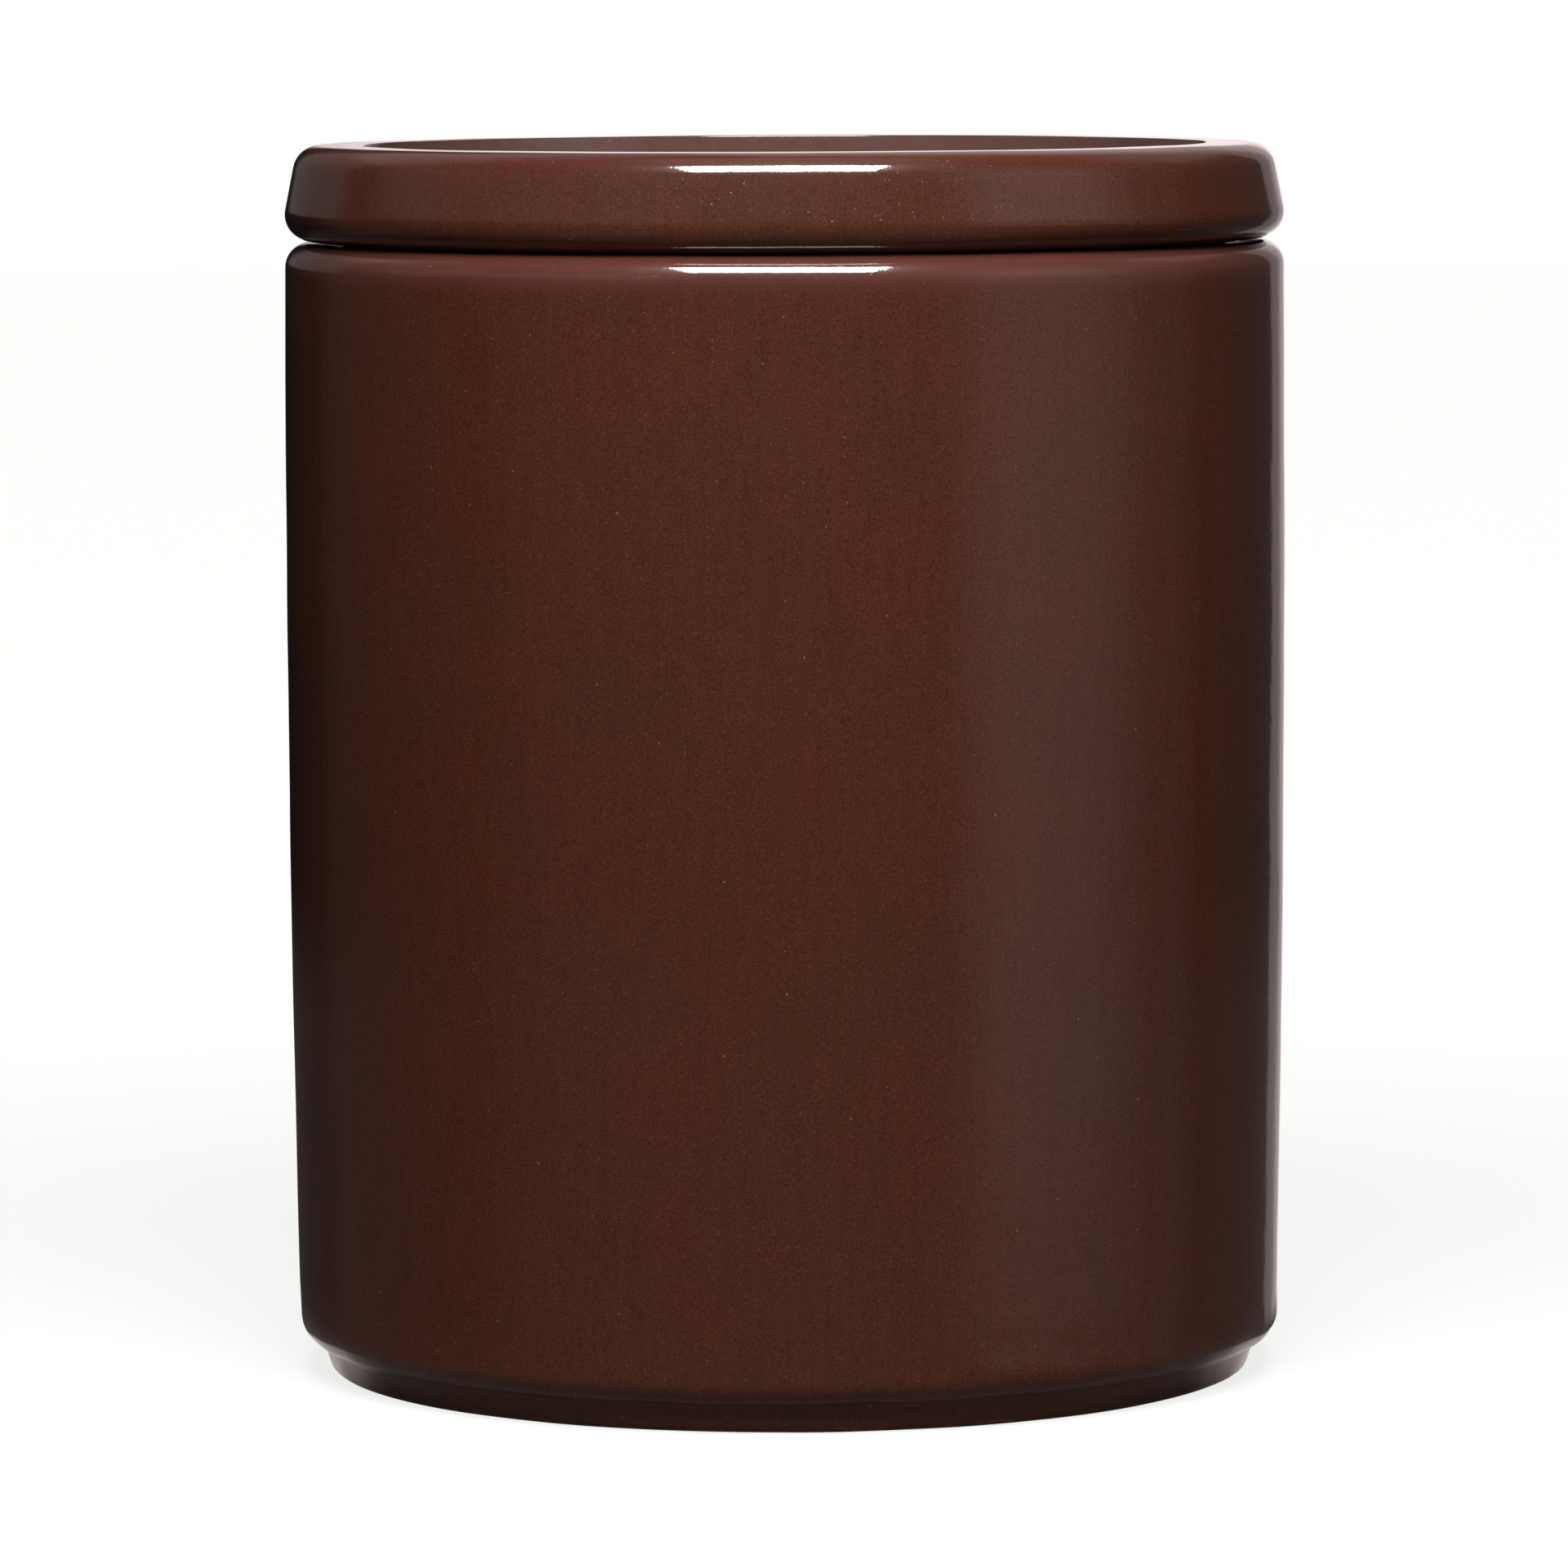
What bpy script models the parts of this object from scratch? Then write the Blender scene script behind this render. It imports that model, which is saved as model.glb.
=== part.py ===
"""Storage jar in glazed stoneware with a dished lift-off lid and a silicone seal ring.

Every piece is turned: its outline, half of a section through the axis, is swept round +Z.
Sizes are in metres, +Z is up, and the origin is the middle of the foot, on the surface that the jar stands on.
"""
import math

import bpy
from mathutils import Vector

MM = 0.001

# Jar body
JAR_RADIUS = 60.0 * MM           # at its widest, which is the side of the lid
JAR_HEIGHT = 135.9 * MM          # foot to the flat rim that the lid rests on
BODY_INSET = 0.05 * MM           # how far the wall, carried up to the rim, lies inside the lid's side
BODY_TAPER = 0.78 * MM           # how much the wall draws in from the rim down to the lower corner
BODY_BELLY = 0.46 * MM           # how far the wall swells past a straight line at half height
WALL = 5.9 * MM
FLOOR_THICKNESS = 6.0 * MM
SHOULDER_ROUND = 2.95 * MM       # outer edge of the rim
MOUTH_ROUND = 1.0 * MM           # inner edge of the rim
CORNER_ROUND = 3.4 * MM          # lower outer corner
INSIDE_CORNER_ROUND = 8.0 * MM   # between the inner wall and the floor
BASE_SLOPE = math.radians(20.0)  # underside between the lower corner and the foot, above level

# Foot ring, part of the body
FOOT_SETBACK = 2.63 * MM         # how far its top lies inside the lower corner
FOOT_TAPER = 1.15 * MM           # how much it draws in from top to bottom
FOOT_HEIGHT = 3.25 * MM          # outside, up to the sloping underside
FOOT_RECESS = 2.6 * MM           # inside, up to the underside of the base
FOOT_WIDTH = 3.4 * MM            # across the ring where it stands
FOOT_EDGE_ROUND = 1.2 * MM
FOOT_FILLET = 0.7 * MM           # between the ring and the base

# Lid; its heights are above the face that rests on the rim
LID_HEIGHT = 11.3 * MM
LID_WIDEST_HEIGHT = 3.05 * MM
LID_TOP_ROUND = 3.2 * MM
LID_LOW_ROUND = 3.1 * MM
LID_LEAN = math.radians(11.3)      # lean of the side towards the axis
LID_UNDERCUT = math.radians(27.0)  # rise of the underside from the seat outwards
LID_RIM_WIDTH = 7.75 * MM          # raised rim, from its outer corner to the recess
LID_PLATE = 5.7 * MM
RECESS_DEPTH = 6.5 * MM
RECESS_DRAFT = 0.6 * MM            # how much the recess narrows down to its floor
RECESS_EDGE_ROUND = 0.2 * MM
RECESS_CORNER_ROUND = 3.0 * MM
SEAT_GAP = 0.3 * MM                # clearance between the lid and the rim
SEAT_EDGE_ROUND = 0.4 * MM

# Spigot below the lid, which centres it in the mouth and carries the seal ring in a groove
SPIGOT_GAP = 1.2 * MM              # clearance to the mouth, which the seal ring's lips bridge
SPIGOT_DEPTH = 9.0 * MM
SPIGOT_WALL = 4.0 * MM             # behind the groove
SPIGOT_LAND = 2.5 * MM             # height of the spigot below the groove
SPIGOT_ROOT_ROUND = 0.5 * MM
SPIGOT_END_ROUND = 1.0 * MM
UNDERSIDE_CORNER_ROUND = 3.0 * MM
GROOVE_HEIGHT = 4.0 * MM
GROOVE_DEPTH = 1.6 * MM

# Seal ring
SEAL_FIT_GAP = 0.3 * MM            # clearance to each side of its groove
SEAL_MOUTH_GAP = 0.3 * MM          # clearance of the lips to the mouth
SEAL_BAND = 1.2 * MM               # thickness of the band that sits in the groove
LIP_COUNT = 2
LIP_PITCH = 1.8 * MM
LIP_THICKNESS = 0.7 * MM
LIP_TIP_ROUND = 0.25 * MM

# Facets
FACETS = 60                        # round the axis
WALL_STEPS = 8                     # up the swollen wall
CHORD_ERROR = 0.05 * MM            # how far a facet may lie inside a rounded edge
MERGE_DISTANCE = 0.001 * MM
SHARP_ANGLE = math.radians(40.0)

# Finishes: linear colour, roughness, coat
GLAZE = ((0.070, 0.023, 0.014, 1.0), 0.10, 1.0)
SILICONE = ((0.62, 0.60, 0.56, 1.0), 0.45, 0.0)


def clear_scene():
    """Remove every object that the file starts with."""
    for item in list(bpy.data.objects):
        bpy.data.objects.remove(item, do_unlink=True)


def new_collection(name):
    """Make a collection in the scene."""
    group = bpy.data.collections.new(name)
    bpy.context.scene.collection.children.link(group)
    return group


def new_material(name, finish):
    """Make a Principled material from a linear colour, a roughness and a coat weight."""
    colour, roughness, coat = finish
    material = bpy.data.materials.new(name)
    material.use_nodes = True
    shader = material.node_tree.nodes["Principled BSDF"]
    shader.inputs["Base Color"].default_value = colour
    shader.inputs["Roughness"].default_value = roughness
    shader.inputs["Metallic"].default_value = 0.0
    shader.inputs["Coat Weight"].default_value = coat
    material.diffuse_color = colour
    return material


def new_datum(name, group, parent=None, height=0.0):
    """Make an empty on the axis at a height above its parent."""
    datum = bpy.data.objects.new(name, None)
    datum.parent = parent
    datum.location = (0.0, 0.0, height)
    group.objects.link(datum)
    return datum


def rounded_outline(corners, closed=False):
    """Outline through corners (radius, height, round), with an arc that touches both sides at each round.

    Where two rounds need more than the side between them, both are reduced until they meet.
    """
    places = [Vector((radius, height)) for radius, height, _ in corners]
    count = len(places)
    sides = [places[(index + 1) % count] - places[index] for index in range(count)]
    turns = [sides[index - 1].angle_signed(sides[index], 0.0) for index in range(count)]
    if not closed:
        turns[0] = 0.0
        turns[-1] = 0.0
    reaches = [corner[2] * math.tan(abs(turn) / 2) for corner, turn in zip(corners, turns)]
    shares = []
    for index, side in enumerate(sides):
        wanted = reaches[index] + reaches[(index + 1) % count]
        shares.append(min(1.0, side.length / wanted) if wanted > 0.0 else 1.0)
    outline = []
    for index, (place, turn) in enumerate(zip(places, turns)):
        reach = reaches[index] * min(shares[index - 1], shares[index])
        if reach == 0.0:
            outline.append(tuple(place))
            continue
        radius = reach / math.tan(abs(turn) / 2)
        start = place - sides[index - 1].normalized() * reach
        end = place + sides[index].normalized() * reach
        middle = (start + end) / 2
        centre = place + (middle - place) * ((reach ** 2 + radius ** 2) / reach ** 2)
        widest = 2 * math.acos(max(1.0 - CHORD_ERROR / radius, 0.0))
        steps = max(1, math.ceil(abs(turn) / widest))
        first = math.atan2(start.y - centre.y, start.x - centre.x)
        for step in range(steps + 1):
            angle = first - turn * step / steps
            outline.append((centre.x + radius * math.cos(angle), centre.y + radius * math.sin(angle)))
    return outline


def turned_piece(name, outline, finish, group, parent, height=0.0, closed=False):
    """Sweep an outline round the axis and shade its rounds smooth."""
    edges = [(index, index + 1) for index in range(len(outline) - 1)]
    if closed:
        edges.append((len(outline) - 1, 0))
    section = bpy.data.meshes.new(name + "_section")
    section.from_pydata([(radius, 0.0, level) for radius, level in outline], edges, [])
    piece = bpy.data.objects.new(name, section)
    group.objects.link(piece)
    piece.parent = parent
    piece.location = (0.0, 0.0, height)

    turn = piece.modifiers.new("Turn", "SCREW")
    turn.axis = "Z"
    turn.angle = math.tau
    turn.steps = FACETS
    turn.render_steps = FACETS
    turn.use_merge_vertices = True
    turn.merge_threshold = MERGE_DISTANCE
    evaluated = piece.evaluated_get(bpy.context.evaluated_depsgraph_get())
    turned = bpy.data.meshes.new_from_object(evaluated)
    turned.name = name
    piece.modifiers.remove(turn)
    piece.data = turned
    bpy.data.meshes.remove(section)

    turned.shade_smooth()
    turned.set_sharp_from_angle(angle=SHARP_ANGLE)
    turned.materials.append(new_material(name + "_finish", finish))
    return piece


def base_corner_height():
    """Height of the lower outer corner, where the wall meets the sloping underside."""
    return FOOT_HEIGHT + FOOT_SETBACK * math.tan(BASE_SLOPE)


def body_top_radius():
    """Outside of the wall, carried up to the rim."""
    return JAR_RADIUS - BODY_INSET


def body_base_radius():
    """Outside of the wall, carried down to the lower corner."""
    return body_top_radius() - BODY_TAPER


def wall_radius(height):
    """Outside of the body's wall: a straight line between its ends plus a shallow swelling."""
    low = base_corner_height()
    share = (height - low) / (JAR_HEIGHT - low)
    straight = body_base_radius() + BODY_TAPER * share
    return straight + 4 * BODY_BELLY * share * (1 - share)


def wall_corners(bottom, top, inset):
    """Points up the wall between two heights, set in from the outside, without its ends."""
    corners = []
    for step in range(1, WALL_STEPS):
        height = bottom + (top - bottom) * step / WALL_STEPS
        corners.append((wall_radius(height) - inset, height, 0.0))
    return corners


def mouth_radius():
    """Inside of the wall at the rim."""
    return body_top_radius() - WALL


def jar_body_corners():
    """Section of the body, from the middle of its floor round to the middle of its underside."""
    floor = FOOT_RECESS + FLOOR_THICKNESS
    corner = base_corner_height()
    foot_top = body_base_radius() - FOOT_SETBACK
    foot_outer = foot_top - FOOT_TAPER
    foot_inner = foot_outer - FOOT_WIDTH
    inner_wall = wall_corners(floor, JAR_HEIGHT, WALL)
    outer_wall = wall_corners(corner, JAR_HEIGHT, 0.0)
    return [
        (0.0, floor, 0.0),
        (wall_radius(floor) - WALL, floor, INSIDE_CORNER_ROUND),
        *inner_wall,
        (mouth_radius(), JAR_HEIGHT, MOUTH_ROUND),
        (body_top_radius(), JAR_HEIGHT, SHOULDER_ROUND),
        *reversed(outer_wall),
        (body_base_radius(), corner, CORNER_ROUND),
        (foot_top, FOOT_HEIGHT, FOOT_FILLET),
        (foot_outer, 0.0, FOOT_EDGE_ROUND),
        (foot_inner, 0.0, FOOT_EDGE_ROUND),
        (foot_inner - FOOT_TAPER, FOOT_RECESS, FOOT_FILLET),
        (0.0, FOOT_RECESS, 0.0),
    ]


def spigot_radius():
    """Outside of the spigot below the lid."""
    return mouth_radius() - SPIGOT_GAP


def groove_radius():
    """Bottom of the groove in the spigot."""
    return spigot_radius() - GROOVE_DEPTH


def groove_middle():
    """Height of the groove's middle, below the lid's seat."""
    return SPIGOT_LAND + GROOVE_HEIGHT / 2 - SPIGOT_DEPTH


def lid_side_corners():
    """Corners of the lid's side: top, bottom, and where its underside meets the seat.

    The low round is a circle that touches the lid's widest radius, the leaning side and the undercut.
    """
    centre_radius = JAR_RADIUS - LID_LOW_ROUND
    under = math.pi / 2 - LID_UNDERCUT
    spread = LID_LOW_ROUND / math.cos((LID_LEAN + under) / 2)
    middle = (LID_LEAN - under) / 2
    low_radius = centre_radius + spread * math.cos(middle)
    low_height = LID_WIDEST_HEIGHT + spread * math.sin(middle)
    rise = LID_HEIGHT - LID_WIDEST_HEIGHT
    top_radius = centre_radius + (LID_LOW_ROUND - rise * math.sin(LID_LEAN)) / math.cos(LID_LEAN)
    seat_radius = centre_radius + (LID_LOW_ROUND - LID_WIDEST_HEIGHT * math.sin(under)) / math.cos(under)
    return top_radius, (low_radius, low_height), seat_radius


def lid_corners():
    """Section of the lid, from the middle of its recess round to the middle of its underside."""
    top_radius, (low_radius, low_height), seat_radius = lid_side_corners()
    recess = top_radius - LID_RIM_WIDTH
    recess_floor = LID_HEIGHT - RECESS_DEPTH
    underside = recess_floor - LID_PLATE
    groove_top = groove_middle() + GROOVE_HEIGHT / 2
    groove_bottom = groove_middle() - GROOVE_HEIGHT / 2
    spigot_inner = groove_radius() - SPIGOT_WALL
    return [
        (0.0, recess_floor, 0.0),
        (recess - RECESS_DRAFT, recess_floor, RECESS_CORNER_ROUND),
        (recess, LID_HEIGHT, RECESS_EDGE_ROUND),
        (top_radius, LID_HEIGHT, LID_TOP_ROUND),
        (low_radius, low_height, LID_LOW_ROUND),
        (seat_radius, 0.0, SEAT_EDGE_ROUND),
        (spigot_radius(), 0.0, SPIGOT_ROOT_ROUND),
        (spigot_radius(), groove_top, 0.0),
        (groove_radius(), groove_top, 0.0),
        (groove_radius(), groove_bottom, 0.0),
        (spigot_radius(), groove_bottom, 0.0),
        (spigot_radius(), -SPIGOT_DEPTH, SPIGOT_END_ROUND),
        (spigot_inner, -SPIGOT_DEPTH, SPIGOT_END_ROUND),
        (spigot_inner, underside, UNDERSIDE_CORNER_ROUND),
        (0.0, underside, 0.0),
    ]


def seal_ring_corners():
    """Closed section of the seal ring, with its lips, about the groove's middle."""
    inner = groove_radius() + SEAL_FIT_GAP
    band = inner + SEAL_BAND
    tip = mouth_radius() - SEAL_MOUTH_GAP
    half = GROOVE_HEIGHT / 2 - SEAL_FIT_GAP
    corners = [(inner, half, 0.0), (band, half, 0.0)]
    for lip in range(LIP_COUNT):
        middle = ((LIP_COUNT - 1) / 2 - lip) * LIP_PITCH
        corners += [
            (band, middle + LIP_THICKNESS / 2, 0.0),
            (tip, middle + LIP_THICKNESS / 2, LIP_TIP_ROUND),
            (tip, middle - LIP_THICKNESS / 2, LIP_TIP_ROUND),
            (band, middle - LIP_THICKNESS / 2, 0.0),
        ]
    return corners + [(band, -half, 0.0), (inner, -half, 0.0)]


def main():
    """Build the jar: the body, the lid above its rim, and the seal ring in the lid's groove."""
    clear_scene()
    group = new_collection("storage_jar")
    jar_datum = new_datum("jar_datum", group)
    lid_datum = new_datum("lid_datum", group, jar_datum, JAR_HEIGHT + SEAT_GAP)
    turned_piece("jar_body", rounded_outline(jar_body_corners()), GLAZE, group, jar_datum)
    turned_piece("lid", rounded_outline(lid_corners()), GLAZE, group, lid_datum)
    seal = rounded_outline(seal_ring_corners(), closed=True)
    turned_piece("seal_ring", seal, SILICONE, group, lid_datum, height=groove_middle(), closed=True)


main()
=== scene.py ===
import math

import bpy
import numpy as np
from bpy.props import FloatProperty, FloatVectorProperty, PointerProperty
from mathutils import Matrix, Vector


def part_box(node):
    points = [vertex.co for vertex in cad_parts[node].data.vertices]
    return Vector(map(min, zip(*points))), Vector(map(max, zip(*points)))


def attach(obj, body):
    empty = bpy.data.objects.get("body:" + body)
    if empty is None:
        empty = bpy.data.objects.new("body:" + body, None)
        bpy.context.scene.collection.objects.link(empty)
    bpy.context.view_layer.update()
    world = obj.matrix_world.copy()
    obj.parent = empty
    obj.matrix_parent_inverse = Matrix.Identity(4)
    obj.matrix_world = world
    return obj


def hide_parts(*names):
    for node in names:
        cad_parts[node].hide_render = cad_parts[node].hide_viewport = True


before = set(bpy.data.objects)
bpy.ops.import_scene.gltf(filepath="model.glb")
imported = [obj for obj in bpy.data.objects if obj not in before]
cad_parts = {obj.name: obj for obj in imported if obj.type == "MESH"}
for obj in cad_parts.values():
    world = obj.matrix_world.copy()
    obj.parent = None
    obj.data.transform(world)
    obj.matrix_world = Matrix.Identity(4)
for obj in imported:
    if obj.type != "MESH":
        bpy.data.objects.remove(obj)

# Looks of a storage jar: a glazed stoneware body and lid, a silicone seal ring, and the studio round
# them. Every piece is turned: its outline, half of a section through the axis, is carried round +Z.
# Lengths are in metres, the origin is the middle of the foot, and the jar's front faces -Y.

bl_info = {
    "name": "Glazed storage jar",
    "version": (1, 0, 0),
    "blender": (4, 5, 0),
    "location": "View3D > Sidebar > Jar",
    "description": "Builds a lidded stoneware jar, its seal ring and a white studio",
    "category": "Object",
}

MM = 0.001
COLUMNS = 224                       # points round the axis
SPACING = 1.5 * MM                  # longest step along an outline
ARC_STEP = math.radians(6.0)        # longest turn between two points of a rounded edge
WALL_LEVELS = 66                    # heights at which the swollen wall is worked out
ON_AXIS = 0.01 * MM                 # a point closer to the axis than this is a pole
SHARP = math.radians(40.0)          # a bend above this shades as a crisp edge
FIT = 0.2 * MM                      # how far a piece's box may differ from its node's

# Unevenness of the fired surface.
WAVES = 24                          # plane waves that it is summed from
BROAD = (12 * MM, 40 * MM)          # wavelengths on the body and the lid
GATHERED = (5 * MM, 14 * MM)        # wavelengths where the glaze has run and gathered
RUN_LEVELS = (6 * MM, 12 * MM)      # the runs are full below these heights and gone above them
RUN_RADII = (38 * MM, 50 * MM)      # under the base they are gone inside these radii, full outside
STANDING = 0.5 * MM                 # the foot has no runs below this height, where it stands
CLAY_LEVEL = 0.6 * MM               # height over which the bare clay of the foot gives way to glaze
SEAT_SLACK = 0.02 * MM              # how far a point of the lid's seat may lie off its level

# Studio.
AIM_FRONT = 58 * MM                 # the softboxes face the lid's front, this far before the axis
AIM_LEVEL = 142 * MM                # and this far above the floor
DARK_ROOM = (0.006, 0.006, 0.006)   # what the glaze mirrors where there is no card
WARM = (0.0, -0.14, -0.15)          # what full warmth adds to a white card's colour
SLIVER = 0.1                        # degrees added to a card's side edges, so that none is zero wide
GLAZE = "iron_brown_glazed_stoneware"

# Studio cards that the glaze mirrors. In degrees: azimuth, 0 towards the camera and positive to the
# right, with half the width and the softness of the sides; elevation, with half the height and the
# softness of the top and bottom. Then the radiance, and the warmth from 0 to 1.
CARDS = (
    (0, 50, 20, 14, 11, 6, 0.05, 0),           # wall behind the camera
    (0, 70, 30, -5, 90, 10, 0.08, 0),          # dim front of the room
    (63, 20, 22, 15, 26, 10, 0.30, 0),         # tall white reflector on the right
    (64, 18, 20, 18, 10, 8, 0.22, 0),          # the reflector's brighter upper part
    (94, 12, 16, 15, 30, 12, 0.10, 0),         # the reflector's far edge, fading out
    (132, 20, 10, 10, 40, 14, 0.03, 0),        # room on the right
    (166.8, 16.3, 2, 5, 60, 20, 0.24, 1),      # backdrop, cut off by a black flag on the left
    (172, 11, 6, 3, 40, 20, 0.25, 1),          # the backdrop's brighter middle
    (177, 7, 4, -4, 12, 8, 0.55, 1),           # the backdrop's bright foot
    (-65, 42, 20, 18, 10, 8, 0.15, 0),         # pale wall on the left, above the table
    (-105, 26, 16, 5, 35, 14, 0.03, 0),        # room on the left
    (-144, 20, 8, 32, 31, 2, 0.10, 0),         # backdrop over the top of the flag
    (0, 180, 0, 86, 14, 10, 0.45, 0),          # ceiling bounce
    (180, 70, 20, 40, 12, 10, 0.20, 0),        # high back of the room
)


def length(name, millimetres, description):
    """A size in metres, given in millimetres."""
    return FloatProperty(
        name=name, description=description, default=millimetres * MM, precision=5, unit="LENGTH"
    )


def degrees(name, angle, description):
    """An angle in radians, given in degrees."""
    return FloatProperty(
        name=name, description=description, default=math.radians(angle), unit="ROTATION"
    )


def amount(name, value, description):
    """A plain number."""
    return FloatProperty(name=name, description=description, default=value, precision=3)


def linear(code):
    """Linear colour from an sRGB hex code.

    Each value v from 0 to 1 becomes v/12.92 up to 0.04045, and ((v + 0.055)/1.055)^2.4 above it.
    """
    values = np.array([int(code[at:at + 2], 16) for at in (0, 2, 4)]) / 255
    bent = np.where(values <= 0.04045, values / 12.92, ((values + 0.055) / 1.055) ** 2.4)
    return (*bent.tolist(), 1.0)


def colour(name, code, description):
    """A colour, given as an sRGB hex code."""
    return FloatVectorProperty(
        name=name, description=description, default=linear(code),
        subtype="COLOR", size=4, min=0.0, max=1.0,
    )


class BodySizes(bpy.types.PropertyGroup):
    """Sizes of the stoneware body."""

    radius: length("Radius", 59.94, "Outside of the wall, carried up to the rim")
    height: length("Height", 135.9, "Foot to the rim that the lid rests on")
    taper: length("Taper", 0.78, "How much the wall draws in from the rim to the lower corner")
    belly: length("Belly", 0.46, "How far the wall swells past a straight line at half height")
    wall: length("Wall", 5.9, "Thickness of the wall")
    floor: length("Floor", 6.0, "Thickness of the floor")
    shoulder_round: length("Shoulder round", 2.95, "Outer edge of the rim")
    mouth_round: length("Mouth round", 1.0, "Inner edge of the rim")
    corner_round: length("Corner round", 3.4, "Lower outer corner")
    inside_round: length("Inside round", 8.0, "Between the inner wall and the floor")
    base_slope: degrees("Base slope", 20.0, "Rise of the underside from the foot to the lower corner")
    foot_setback: length("Foot setback", 2.63, "How far the foot's top lies inside the lower corner")
    foot_taper: length("Foot taper", 1.15, "How much the foot draws in from top to bottom")
    foot_height: length("Foot height", 3.25, "Height of the foot ring outside")
    foot_recess: length("Foot recess", 2.6, "Height of the foot ring inside")
    foot_width: length("Foot width", 3.4, "Width of the foot ring where it stands")
    foot_edge_round: length("Foot edge round", 1.2, "Both edges of the foot ring")
    foot_fillet: length("Foot fillet", 0.7, "Between the foot ring and the base")


class LidSizes(bpy.types.PropertyGroup):
    """Sizes of the stoneware lid; its heights are above its seat."""

    seat: length("Seat level", 136.2, "Height of the face that rests above the rim")
    radius: length("Radius", 59.95, "Widest radius")
    height: length("Height", 11.3, "Seat to the top of the raised rim")
    widest: length("Widest height", 3.05, "Height of the widest radius")
    top_round: length("Top round", 3.2, "Upper outer edge")
    low_round: length("Low round", 3.1, "Lower outer edge")
    lean: degrees("Lean", 11.3, "Lean of the side towards the axis")
    undercut: degrees("Undercut", 27.0, "Rise of the underside from the seat outwards")
    rim_width: length("Rim width", 7.75, "Raised rim, from its outer corner to the recess")
    plate: length("Plate", 5.7, "Thickness under the recess")
    recess_depth: length("Recess depth", 6.5, "Depth of the dished top")
    recess_draft: length("Recess draft", 0.6, "How much the recess narrows down to its floor")
    recess_edge_round: length("Recess edge round", 0.2, "Edge of the recess")
    recess_corner_round: length("Recess corner round", 3.0, "Between the recess wall and its floor")
    seat_edge_round: length("Seat edge round", 0.4, "Outer edge of the seat")
    spigot_radius: length("Spigot radius", 52.85, "Outside of the spigot")
    spigot_depth: length("Spigot depth", 9.0, "How far the spigot reaches down")
    spigot_wall: length("Spigot wall", 4.0, "Thickness behind the groove")
    spigot_land: length("Spigot land", 2.5, "Height of the spigot below the groove")
    spigot_root_round: length("Spigot root round", 0.5, "Between the spigot and the seat")
    spigot_end_round: length("Spigot end round", 1.0, "Lower edges of the spigot")
    underside_round: length("Underside round", 3.0, "Between the spigot and the plate")
    groove_height: length("Groove height", 4.0, "Height of the seal's groove")
    groove_depth: length("Groove depth", 1.6, "Depth of the seal's groove")


class SealSizes(bpy.types.PropertyGroup):
    """Sizes of the silicone seal ring."""

    middle: length("Middle", 131.7, "Height of the ring's middle")
    inner_radius: length("Inner radius", 51.55, "Inside of the band")
    band: length("Band", 1.2, "Thickness of the band")
    tip_radius: length("Tip radius", 53.75, "Reach of the lips")
    half_height: length("Half height", 1.7, "Half the height of the band")
    lip_pitch: length("Lip pitch", 1.8, "Distance between the two lips")
    lip_thickness: length("Lip thickness", 0.7, "Thickness of a lip")
    lip_round: length("Lip round", 0.25, "Edges of a lip")
    band_round: length("Band round", 0.3, "Corners of the band")
    root_round: length("Root round", 0.12, "Between a lip and the band")


class GlazeLook(bpy.types.PropertyGroup):
    """Colours and patterns of the brown glaze."""

    red: colour("Red brown", "4D2518", "Patches where the iron fired redder")
    umber: colour("Umber", "4A2619", "Patches where it fired browner")
    # thin and bald are partly the glaze thinning over rounds and edges, and partly painted light: a
    # lighter shade painted on the upward rounds and a reflection painted on the recess wall.
    thin: colour("Thin glaze", "5A322B", "Redder glaze where it thins over a round")
    bald_and_painted_reflection: colour("Thinnest glaze", "5B443E", "Greyer glaze where it draws off an edge")
    speck: colour("Specks", "B58A72", "Tiny pale crystals")
    bare: colour("Bare clay", "9C8268", "Unglazed stoneware that the jar stands on")
    cloud: length("Cloud", 17.0, "Size of the broad changes of shade")
    grain: length("Grain", 0.24, "Size of the sandy mottling")
    grain_depth: amount("Grain depth", 0.38, "How much lighter and darker the mottling gets")
    streak: length("Streak", 1.1, "Width of the faint vertical streaks")
    streak_depth: amount("Streak depth", 0.05, "How much lighter and darker a streak gets")
    drift: length("Drift", 2.0, "Size of the breaks along a thin or bare edge")
    fleck_spacing: length("Fleck spacing", 0.55, "Between the places where a faint fleck may lie")
    fleck_share: amount("Fleck share", 0.22, "How much of the specks' colour a fleck takes at most")
    speck_spacing: length("Speck spacing", 2.4, "Between the places where a bright speck may lie")
    speck_share: amount("Speck share", 0.3, "How much of the specks' colour a bright speck takes")
    grit: length("Grit", 0.4, "Size of the clay's grit and of the glaze's fine relief")
    peel: length("Orange peel", 2.4, "Length of the shallow ripples")
    peel_depth: length("Orange peel depth", 0.022, "Height of the shallow ripples")
    grit_depth: length("Relief depth", 0.005, "Height of the glaze's fine relief")
    fleck_depth: length("Fleck height", 0.003, "How far a fleck stands out")
    coat_roughness: amount("Coat roughness", 0.06, "Roughness of the glassy surface")
    under_roughness: amount("Roughness", 0.3, "Roughness of the layer under the glassy surface")
    clay_roughness: amount("Clay roughness", 0.8, "Roughness of the bare clay")
    waviness: length("Waviness", 0.05, "How far the fired surface may lie inside the drawn shape")
    run: length("Run", 0.12, "The same at the foot, where the glaze has run and gathered")


class SiliconeLook(bpy.types.PropertyGroup):
    """Colours of the seal ring."""

    milky: colour("Silicone", "CFCBC4", "Milky silicone rubber")
    dusty: colour("Dust", "BDB7AC", "Faint dusty patches")
    patch: length("Patch", 3.0, "Size of the dusty patches")
    tooth: length("Tooth", 0.3, "Size of the mould's fine texture")
    tooth_depth: length("Tooth depth", 0.01, "Height of that texture")


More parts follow.
